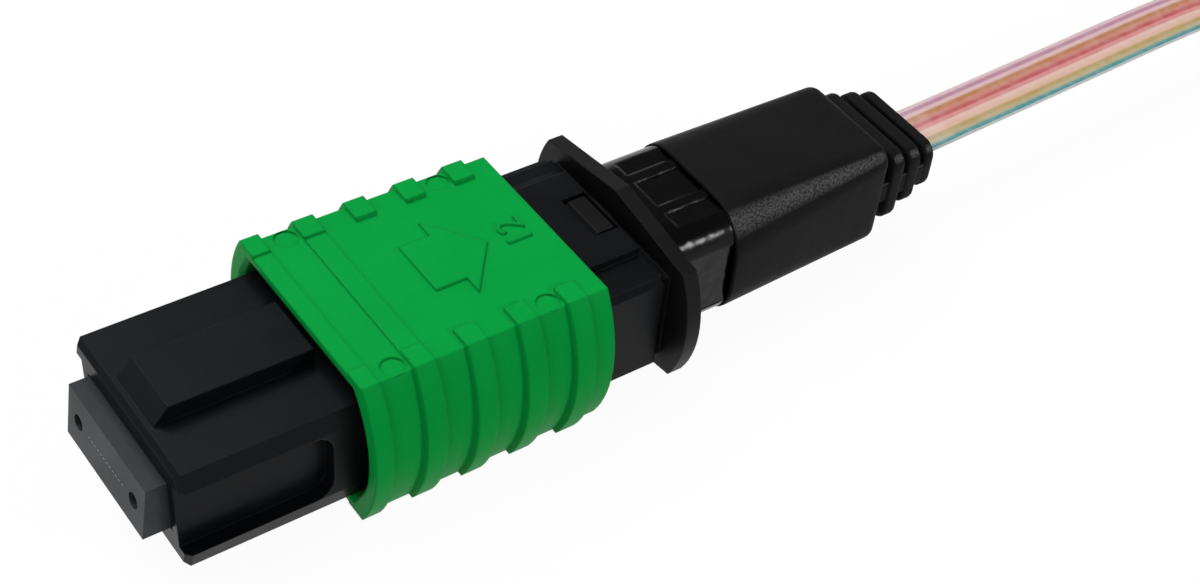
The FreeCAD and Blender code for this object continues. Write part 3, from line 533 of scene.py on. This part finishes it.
@dataclass
class StrainBoot:
    """The rubber boot: an oval mouth that draws in to a square body, and a slotted tail."""

    finishes: Finishes
    mouth_x: float = 27.45
    rear_x: float = 36.7
    tail_x: float = 40.0
    mouth: RoundedSection = RoundedSection(3.74, 3.04, 2.24)
    rear: RoundedSection = RoundedSection(3.02, 2.67, 0.85, 0.08)
    least_corner: float = 0.3
    lip: float = 0.1
    lip_steps: int = 4
    skin_steps: int = 10
    shoulder: float = 0.5
    shoulder_steps: int = 8
    wall_inside: RoundedSection = RoundedSection(3.52, 2.87, 1.7)
    wall_depth: float = 0.35
    barrel_inside: RoundedSection = RoundedSection(3.08, 2.43, 1.26)
    barrel_depth: float = 1.25
    tail: RoundedSection = RoundedSection(2.82, 1.88, 0.7)
    plates: int = 3
    plate_pitch: float = 1.14
    plate_long: float = 0.72
    end_plate_long: float = 0.58
    plate_step: Tuple[float, float] = (0.14, 0.31)
    plate_lift: float = 0.2
    plate_edge: float = 0.14
    edge_turns: Tuple[float, ...] = (0.0, 0.5, 1.0, 1.57)
    core: RoundedSection = RoundedSection(2.1, 0.8, 0.2)
    core_sunk: float = 0.2
    core_short: float = 0.02
    web_rise: float = 0.55
    web_corner: float = 0.15
    web_inset: float = 0.05
    sharp_degrees: float = 40.0

    def build(self) -> bpy.types.Object:
        """Make the boot and let it stand for its solid.

        Returns:
            The boot object.
        """
        shells = [self.body()] + [self.plate(index) for index in range(self.plates)]
        shells += [self.core_rings(), self.web_rings()]
        verts: List[Point] = []
        faces: List[Tuple[int, ...]] = []
        for rings in shells:
            count, base = len(rings[0]), len(verts)
            last = base + (len(rings) - 1) * count
            verts += [(x * MM, y * MM, z * MM) for ring in rings for x, y, z in ring]
            faces += walls(len(rings), count, base)
            faces += [tuple(range(base, base + count)), tuple(range(last, last + count))]
        item = new_mesh_object("rubber_boot", verts, faces)
        dress(item, self.finishes.get(Finish.BOOT))
        item.data.set_sharp_from_angle(angle=math.radians(self.sharp_degrees))
        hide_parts("strain_boot")
        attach(item, "housing")
        LOG.info("moulded %s", item.name)
        return item

    def body(self) -> Rings:
        """Body: pocket for the crimp ring, rounded lip, tapered skin and rounded shoulder.

        Returns:
            Its rings of points, from the bottom of the pocket round the lip to the rear.
        """
        rings = [self.barrel_inside.ring(self.mouth_x + self.barrel_depth),
                 self.barrel_inside.ring(self.mouth_x + self.wall_depth),
                 self.wall_inside.ring(self.mouth_x + self.wall_depth),
                 self.wall_inside.ring(self.mouth_x)]
        for step in range(1, self.lip_steps + 1):
            turn = math.pi / 2 * step / self.lip_steps
            rings.append(self.body_ring(self.mouth_x + self.lip * (1 - math.cos(turn)),
                                        self.lip * (1 - math.sin(turn))))
        skin_long = self.rear_x - self.shoulder - self.mouth_x - self.lip
        for step in range(1, self.skin_steps):
            share = step / self.skin_steps
            rings.append(self.body_ring(self.mouth_x + self.lip + share * skin_long, 0.0))
        for step in range(self.shoulder_steps + 1):
            turn = math.pi / 2 * step / self.shoulder_steps
            rings.append(self.body_ring(self.rear_x - self.shoulder * (1 - math.sin(turn)),
                                        self.shoulder * (1 - math.cos(turn))))
        return rings

    def body_ring(self, x: float, inset: float) -> List[Point]:
        """Outline of the tapered body, drawn in all round.

        Args:
            x: Distance along the connector.
            inset: How far the outline is drawn in.
        Returns:
            The points of the ring.
        """
        share = (x - self.mouth_x) / (self.rear_x - self.mouth_x)
        half, rise, corner, lift = (
            first + (last - first) * share for first, last in (
                (self.mouth.half, self.rear.half), (self.mouth.rise, self.rear.rise),
                (self.mouth.corner, self.rear.corner), (self.mouth.lift, self.rear.lift)))
        return RoundedSection(half - inset, rise - inset, max(corner - inset, self.least_corner),
                              lift).ring(x)

    def plate(self, index: int) -> Rings:
        """One plate of the tail, with rounded edges.

        Args:
            index: Which plate, counted from the body.
        Returns:
            Its rings of points.
        """
        long = self.end_plate_long if index == self.plates - 1 else self.plate_long
        start = self.tail_x - self.end_plate_long - (self.plates - 1 - index) * self.plate_pitch
        half = self.tail.half - index * self.plate_step[0]
        rise = self.tail.rise - index * self.plate_step[1]
        lift = self.plate_lift * (index + 1) / self.plates
        ends = ((start, 1, self.edge_turns), (start + long, -1, self.edge_turns[::-1]))
        rings: Rings = []
        for end, way, turns in ends:
            for turn in turns:
                cut = self.plate_edge * (1 - math.sin(turn))
                edge = RoundedSection(half - cut, rise - cut, self.tail.corner, lift)
                rings.append(edge.ring(end + way * self.plate_edge * (1 - math.cos(turn))))
        return rings

    def core_rings(self) -> Rings:
        """The tail's core.

        Returns:
            Its rings of points.
        """
        return [self.core.ring(self.rear_x - self.core_sunk),
                self.core.ring(self.tail_x - self.core_short)]

    def web_rings(self) -> Rings:
        """The flat web that joins the tail's plates and narrows with them.

        Returns:
            Its rings of points.
        """
        wide = self.tail.half - self.web_inset
        narrow = self.tail.half - self.plate_step[0] * (self.plates - 1) - self.web_inset
        return [RoundedSection(wide, self.web_rise, self.web_corner).ring(
                    self.rear_x - self.core_sunk),
                RoundedSection(narrow, self.web_rise, self.web_corner).ring(
                    self.tail_x - self.core_short)]


@dataclass
class Ribbon:
    """The free flat ribbon: out of the boot, over onto its edge, and round its coil."""

    finishes: Finishes
    width: float = 3.0
    thick: float = 0.3
    fibres: int = 12
    groove: float = 0.035
    fibre_profile: Section = field(default_factory=lambda: [(0.1, 0.7), (0.5, 0.0), (0.9, 0.7)])
    edge_out: float = 0.02
    edge_down: float = 0.05
    coil_middle: Tuple[float, float] = (77.5, 15.25)
    outer: float = 14.45
    inner: float = 8.0
    pitch: float = 1.0
    climb_turns: float = 0.5
    spots_per_turn: int = 16
    exit_x: float = 40.0
    run: Tuple[Point, ...] = (
        (40.0, 0.0, 0.0), (50.0, 0.3, 0.0), (61.0, 0.8, -0.1), (66.0, 0.8, -0.6),
        (71.5, 0.8, -1.75), (75.5, 0.8, -2.28), (77.5, 0.8, -2.28))
    twist_span: Tuple[float, float] = (21.0, 35.5)

    def build(self) -> bpy.types.Object:
        """Returns:
            The ribbon object.
        """
        line = self.centre_line()
        item = self.sweep(line)
        dress(item, self.finishes.get(Finish.RIBBON))
        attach(item, "housing")
        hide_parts("ribbon_run", "ribbon_coil")
        length = sum((b - a).length for a, b in zip(line, line[1:]))
        LOG.info("ribbon line is %.4f m long", length)
        return item

    def route(self) -> List[Point]:
        """Control points: the run, then a layer wound in and a layer wound out on top of it.

        Returns:
            The points in millimetres.
        """
        layer_turns = (self.outer - self.inner) / self.pitch
        all_turns = 2 * layer_turns + self.climb_turns
        # The smooth line runs inside its control points, by this share of their radius.
        drawn_in = 0.75 + 0.25 * math.cos(2 * math.pi / self.spots_per_turn)
        spots = list(self.run)
        for index in range(1, int(all_turns * self.spots_per_turn) + 1):
            turn = index / self.spots_per_turn
            wound = min(turn, max(all_turns - turn, 0.0), layer_turns)
            radius = (self.outer - self.pitch * wound) / drawn_in
            angle = 2 * math.pi * turn - math.pi / 2
            climbed = ease((turn - layer_turns) / self.climb_turns)
            spots.append((self.coil_middle[0] + radius * math.cos(angle),
                          self.coil_middle[1] + radius * math.sin(angle),
                          FLOOR_MM + self.width * (0.5 + climbed)))
        return spots

    def centre_line(self) -> List[Vector]:
        """Points along the smooth line through the route.

        Returns:
            The points in metres.
        """
        curve = bpy.data.curves.new("ribbon_line", "CURVE")
        curve.dimensions = "3D"
        curve.resolution_u = 5
        spline = curve.splines.new("NURBS")
        spots = self.route()
        spline.points.add(len(spots) - 1)
        for point, spot in zip(spline.points, spots):
            point.co = (spot[0] * MM, spot[1] * MM, spot[2] * MM, 1.0)
        spline.order_u = 3
        spline.use_endpoint_u = True
        mesh = mesh_of_curve("ribbon_line", curve)
        line = [point.co.copy() for point in mesh.vertices]
        bpy.data.meshes.remove(mesh)
        return line

    def roll(self, walked: float) -> float:
        """How far the ribbon has turned onto its edge.

        Args:
            walked: Distance along the ribbon in millimetres.
        Returns:
            The turn in radians.
        """
        first, last = self.twist_span
        return math.pi / 2 * ease((walked - first) / (last - first))

    def outline(self) -> Section:
        """Cross-section with a shallow valley between fibres.

        Returns:
            Points across and up, in millimetres.
        """
        step = self.width / self.fibres
        top: Section = []
        for index in range(self.fibres):
            left = -self.width / 2 + index * step
            for share, sink in self.fibre_profile:
                top.append((left + share * step, self.thick / 2 - sink * self.groove))
        top[0] = (top[0][0] - self.edge_out, top[0][1] - self.edge_down)
        top[-1] = (top[-1][0] + self.edge_out, top[-1][1] - self.edge_down)
        return top + [(across, -up) for across, up in reversed(top)]

    def sweep(self, line: List[Vector]) -> bpy.types.Object:
        """Carry the cross-section along the line.

        Args:
            line: Points of the centre line in metres.
        Returns:
            The ribbon's mesh object, with a UV map named strip.
        """
        outline = self.outline()
        count = len(outline)
        verts: List[Vector] = []
        walked = [0.0]
        for a, b in zip(line, line[1:]):
            walked.append(walked[-1] + (b - a).length)
        for index, spot in enumerate(line):
            ahead = line[min(index + 1, len(line) - 1)] - line[max(index - 1, 0)]
            heading = ahead.normalized()
            side = Vector((0, 0, 1)).cross(heading).normalized()
            up = heading.cross(side)
            turned = Matrix.Rotation(self.roll(walked[index] / MM), 3, heading)
            side, up = turned @ side, turned @ up
            for across, rise in outline:
                verts.append(spot + side * (across * MM) + up * (rise * MM))
        last = (len(line) - 1) * count
        faces = walls(len(line), count)
        faces += [tuple(range(count)), tuple(last + place for place in reversed(range(count)))]
        item = new_mesh_object("ribbon", verts, faces)
        self.unwrap(item, outline, walked)
        return item

    def unwrap(self, item: bpy.types.Object, outline: Section, walked: List[float]) -> None:
        """Write the UV map, with u across the ribbon and v along it in millimetres.

        Args:
            item: The ribbon's mesh object.
            outline: Its cross-section.
            walked: Distance along the ribbon of each ring, in metres.
        """
        layer = item.data.uv_layers.new(name="strip")
        count = len(outline)
        for loop in item.data.loops:
            ring, place = divmod(loop.vertex_index, count)
            across = 0.5 - outline[place][0] / self.width
            layer.data[loop.index].uv = (across, walked[ring] / MM)


@dataclass
class CoilSpring:
    """A coil spring grown by a node tree round an oval, between two seats along X.

    Attributes:
        node: The solid that it stands for.
        half_y: Half its width over the wire.
        half_z: Half its height over the wire.
        wire: The wire's diameter.
        span: Its front and rear seat.
        across: How far beside the middle it lies.
        front_body: The body that its front end moves with. Not used.
    """

    finishes: Finishes
    name: str
    node: str
    turns: float
    half_y: float
    half_z: float
    wire: float
    span: Tuple[float, float]
    across: float
    front_body: str

    def build(self, tree: bpy.types.GeometryNodeTree) -> bpy.types.Object:
        """Grow the spring between its two seats.

        Args:
            tree: The spring's node tree.
        Returns:
            The spring object.
        """
        item = link(bpy.data.objects.new(self.name, bpy.data.meshes.new(self.name)))
        grow = item.modifiers.new("coil", "NODES")
        grow.node_group = tree
        values = {"Turns": self.turns, "Half across": (self.half_y - self.wire / 2) * MM,
                  "Half up": (self.half_z - self.wire / 2) * MM, "Wire": self.wire / 2 * MM,
                  "Length": (self.span[1] - self.span[0] - self.wire) * MM,
                  "Start": (self.span[0] + self.wire / 2) * MM, "Across": self.across * MM,
                  "Finish": self.finishes.get(Finish.WIRE)}
        for socket in tree.interface.items_tree:
            if socket.item_type == "SOCKET" and socket.in_out == "INPUT" and socket.name in values:
                grow[socket.identifier] = values[socket.name]
        bake_down(item)
        dress(item, self.finishes.get(Finish.WIRE))
        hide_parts(self.node)
        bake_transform(item)
        LOG.info("grew %s", self.name)
        return item


def spring_tree() -> bpy.types.GeometryNodeTree:
    """Node tree of an oval coil spring along X, with named inputs for its sizes.

    Returns:
        The node tree.
    """
    tree = bpy.data.node_groups.new("oval_coil_spring", "GeometryNodeTree")
    for name in ("Turns", "Half across", "Half up", "Wire", "Length", "Start", "Across"):
        tree.interface.new_socket(name, in_out="INPUT", socket_type="NodeSocketFloat")
    tree.interface.new_socket("Finish", in_out="INPUT", socket_type="NodeSocketMaterial")
    tree.interface.new_socket("Geometry", in_out="OUTPUT", socket_type="NodeSocketGeometry")
    given = add(tree, "NodeGroupInput").outputs
    coil = add(tree, "GeometryNodeCurveSpiral",
               {"Resolution": 40, "Start Radius": 1.0, "End Radius": 1.0},
               {"Rotations": given["Turns"], "Height": given["Length"]})
    spots = add(tree, "GeometryNodeInputPosition").outputs[0]
    parts = add(tree, "ShaderNodeSeparateXYZ", None, {0: spots})
    across = add(tree, "ShaderNodeMath", {"operation": "MULTIPLY_ADD"},
                 {0: parts.outputs["X"], 1: given["Half across"], 2: given["Across"]})
    up = add(tree, "ShaderNodeMath", {"operation": "MULTIPLY"},
             {0: parts.outputs["Y"], 1: given["Half up"]})
    along = add(tree, "ShaderNodeMath", {"operation": "ADD"},
                {0: parts.outputs["Z"], 1: given["Start"]})
    spot = add(tree, "ShaderNodeCombineXYZ", None,
               {0: along.outputs[0], 1: across.outputs[0], 2: up.outputs[0]})
    placed = add(tree, "GeometryNodeSetPosition", None,
                 {"Geometry": coil.outputs[0], "Position": spot.outputs[0]})
    ring = add(tree, "GeometryNodeCurvePrimitiveCircle", {"Resolution": 12},
               {"Radius": given["Wire"]})
    wire = add(tree, "GeometryNodeCurveToMesh", {"Fill Caps": True},
               {"Curve": placed.outputs[0], "Profile Curve": ring.outputs[0]})
    real = add(tree, "GeometryNodeRealizeInstances", None, {"Geometry": wire.outputs[0]})
    dressed = add(tree, "GeometryNodeSetMaterial", None,
                  {"Geometry": real.outputs[0], "Material": given["Finish"]})
    add(tree, "NodeGroupOutput", None, {0: dressed.outputs[0]})
    return tree


def build_springs(finishes: Finishes) -> None:
    """Grow the two return springs and the main spring.

    Args:
        finishes: Where the wire's finish comes from.
    """
    tree = spring_tree()
    beside = 4.52
    for side, across in (("near", -beside), ("far", beside)):
        CoilSpring(finishes, "return_coil_" + side, "return_spring_" + side, turns=9.0,
                   half_y=0.5, half_z=0.5, wire=0.16, span=(11.15, 17.3), across=across,
                   front_body="sleeve").build(tree)
    CoilSpring(finishes, "main_coil", "main_spring", turns=7.0, half_y=3.2, half_z=1.5, wire=0.4,
               span=(9.6, 17.0), across=0.0, front_body="ferrule").build(tree)


@dataclass
class SleeveMarks:
    """Raised marks on the sleeve's crown: the pull arrow and a plain fibre count."""

    finishes: Finishes
    crown: float = 3.6
    raised: float = 0.1
    sunk: float = 0.12
    arrow: Section = field(default_factory=lambda: [
        (13.7, -1.4), (15.14, -1.4), (15.14, -2.3), (17.0, 0.0), (15.14, 2.3), (15.14, 1.4),
        (13.7, 1.4)])
    count_text: str = "12"
    count_centre: Tuple[float, float] = (18.35, 0.0)
    count_size: float = 1.7

    def build(self) -> None:
        """Make the arrow and the count."""
        for item in (self.raise_arrow(), self.raise_count()):
            dress(item, self.finishes.get(Finish.SLEEVE), smooth=False)
            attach(item, "sleeve")
            LOG.info("raised %s", item.name)

    def raise_arrow(self) -> bpy.types.Object:
        """A flat arrow that points rearwards.

        Returns:
            The arrow's mesh object.
        """
        low = [(x * MM, y * MM, (self.crown - self.sunk) * MM) for x, y in self.arrow]
        high = [(x * MM, y * MM, (self.crown + self.raised) * MM) for x, y in self.arrow]
        count = len(self.arrow)
        caps = [tuple(range(count)), tuple(range(count, 2 * count))]
        return new_mesh_object("pull_arrow", low + high, caps + walls(2, count))

    def raise_count(self) -> bpy.types.Object:
        """Plain raised digits across the crown.

        Returns:
            The digits' mesh object.
        """
        text = bpy.data.curves.new("fibre_count", "FONT")
        text.body = self.count_text
        text.size = self.count_size * MM
        text.align_x = "CENTER"
        text.align_y = "CENTER"
        text.extrude = (self.raised + self.sunk) / 2 * MM
        mesh = mesh_of_curve("fibre_count", text)
        turn = Matrix.Rotation(math.pi / 2, 4, "Z")
        shift = Matrix.Translation((self.count_centre[0] * MM, self.count_centre[1] * MM,
                                    (self.crown + (self.raised - self.sunk) / 2) * MM))
        mesh.transform(shift @ turn)
        return link(bpy.data.objects.new("fibre_count_mark", mesh))


# --- studio ----------------------------------------------------------------------------


@dataclass(frozen=True)
class SoftBox:
    """A square soft box.

    Attributes:
        way: Direction from the object to the lamp.
        distance: Metres from the object's middle.
        side: Metres along the box's edge.
        watts: Power.
    """

    name: str
    way: Point
    distance: float
    side: float
    watts: float

    def hang(self, middle: Vector) -> None:
        """Hang the lamp, facing the object.

        Args:
            middle: The object's middle in metres.
        """
        data = bpy.data.lights.new(self.name, "AREA")
        data.shape = "SQUARE"
        data.size = self.side
        data.energy = self.watts
        heading = Vector(self.way).normalized()
        lamp = bpy.data.objects.new(self.name, data)
        lamp.matrix_world = (Matrix.Translation(middle + heading * self.distance)
                             @ heading.to_track_quat("Z", "Y").to_matrix().to_4x4())
        link(lamp)


@dataclass
class Studio:
    """White sweep of floor, soft boxes and the camera. Its floor and lamps are in metres.

    Attributes:
        glow_share: How much of the floor's look is plain white rather than lit paper.
        horizon: Height of a direction, and the surround's strength up to there.
        overhead: Height of a direction, and the surround's strength above it.
        scattered_share: Share of the surround's strength that lights matte surfaces.
    """

    lens_mm: float = 59.58
    sensor_mm: float = 36.0
    shift: Tuple[float, float] = (-0.06135, 0.16162)
    eye_mm: Point = (-17.594, -49.606, 58.119)
    azimuth: float = -133.542
    elevation: float = 48.344
    roll_degrees: float = 9.708
    middle: Point = (0.02, 0.0, 0.0)
    boxes: Tuple[SoftBox, ...] = (
        SoftBox("near_rear_box", (0.46, -0.75, 0.48), distance=0.45, side=0.06, watts=0.5),
        SoftBox("overhead_box", (-0.12, 0.44, 0.89), distance=0.50, side=0.40, watts=2.05),
        SoftBox("front_box", (-0.80, -0.35, 0.45), distance=0.50, side=0.25, watts=0.35))
    floor_half: float = 3.0
    floor_gap: float = 0.00002
    floor_grey: float = 0.5
    floor_glow: float = 1.06
    glow_share: float = 0.90
    horizon: Tuple[float, float] = (0.05, 1.0)
    overhead: Tuple[float, float] = (0.55, 0.22)
    scattered_share: float = 0.55

    def build(self) -> None:
        """Set up the camera, the floor, the world and the lamps."""
        bpy.context.scene.view_settings.view_transform = "Standard"
        self.place_camera()
        self.lay_floor()
        self.fill_world()
        for box in self.boxes:
            box.hang(Vector(self.middle))

    def place_camera(self) -> None:
        """Stand the camera at the viewing angle."""
        data = bpy.data.cameras.new("camera")
        data.sensor_width = self.sensor_mm
        data.lens = self.lens_mm
        data.shift_x, data.shift_y = self.shift
        data.clip_start = 0.001
        data.clip_end = 10.0
        turn, rise = math.radians(self.azimuth), math.radians(self.elevation)
        back = Vector((math.cos(rise) * math.cos(turn), math.cos(rise) * math.sin(turn),
                       math.sin(rise)))
        right = Vector((0, 0, 1)).cross(back).normalized()
        up = back.cross(right)
        level = Matrix((right, up, back)).transposed()
        tip = Matrix.Rotation(math.radians(self.roll_degrees), 3, back)
        camera = link(bpy.data.objects.new("camera", data))
        camera.matrix_world = Matrix.Translation(Vector(self.eye_mm) * MM) @ (tip @ level).to_4x4()
        bpy.context.scene.camera = camera

    def lay_floor(self) -> None:
        """A wide white floor that keeps a faint shadow of the object."""
        half = self.floor_half
        height = FLOOR_MM * MM - self.floor_gap
        floor = new_mesh_object("floor", [(-half, -half, height), (half, -half, height),
                                          (half, half, height), (-half, half, height)],
                                [(0, 1, 2, 3)])
        material = new_material("white_sweep_paper")
        tree = material.node_tree
        tree.nodes.clear()
        grey = self.floor_grey
        paper = add(tree, "ShaderNodeBsdfDiffuse", {"Color": (grey, grey, grey, 1.0)})
        glow = add(tree, "ShaderNodeEmission", {"Color": WHITE, "Strength": self.floor_glow})
        share = add(tree, "ShaderNodeMath", {"operation": "MULTIPLY", 1: self.glow_share},
                    {0: self.seen_directly(tree)})
        both = add(tree, "ShaderNodeMixShader", None,
                   {0: share.outputs[0], 1: paper.outputs[0], 2: glow.outputs[0]})
        add(tree, "ShaderNodeOutputMaterial", None, {0: both.outputs[0]})
        floor.data.materials.append(material)

    def seen_directly(self, tree: bpy.types.NodeTree) -> bpy.types.NodeSocket:
        """One for what the camera, a gloss or a glass shows; nothing for scattered light.

        Args:
            tree: The nodes of a material or of the world.
        Returns:
            The socket that carries the value.
        """
        path = add(tree, "ShaderNodeLightPath").outputs
        seen = add(tree, "ShaderNodeMath", {"operation": "MAXIMUM"},
                   {0: path["Is Camera Ray"], 1: path["Is Glossy Ray"]})
        seen = add(tree, "ShaderNodeMath", {"operation": "MAXIMUM"},
                   {0: seen.outputs[0], 1: path["Is Transmission Ray"]})
        return seen.outputs[0]

    def fill_world(self) -> None:
        """Pale surround: white at the horizon, greyer overhead."""
        world = bpy.data.worlds.new("studio_surround")
        world.use_nodes = True
        bpy.context.scene.world = world
        tree = world.node_tree
        tree.nodes.clear()
        way = add(tree, "ShaderNodeTexCoord").outputs["Generated"]
        height = add(tree, "ShaderNodeSeparateXYZ", None, {0: way}).outputs["Z"]
        grade = add(tree, "ShaderNodeMapRange",
                    {"From Min": self.horizon[0], "From Max": self.overhead[0],
                     "To Min": self.horizon[1], "To Max": self.overhead[1]},
                    {"Value": height})
        share = add(tree, "ShaderNodeMapRange", {"To Min": self.scattered_share, "To Max": 1.0},
                    {"Value": self.seen_directly(tree)})
        strength = add(tree, "ShaderNodeMath", {"operation": "MULTIPLY"},
                       {0: grade.outputs["Result"], 1: share.outputs["Result"]})
        sky = add(tree, "ShaderNodeBackground", {"Color": WHITE},
                  {"Strength": strength.outputs[0]})
        add(tree, "ShaderNodeOutputWorld", None, {0: sky.outputs[0]})


def main() -> None:
    """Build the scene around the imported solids."""
    logging.basicConfig(level=logging.INFO, format="%(name)s: %(message)s")
    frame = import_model()
    finishes = Finishes()
    Studio().build()
    Ribbon(finishes).build()
    SolidPieces(finishes, frame["nodes"]).build()
    StrainBoot(finishes).build()
    SleeveMarks(finishes).build()
    build_springs(finishes)


if __name__ == "__main__":
    main()
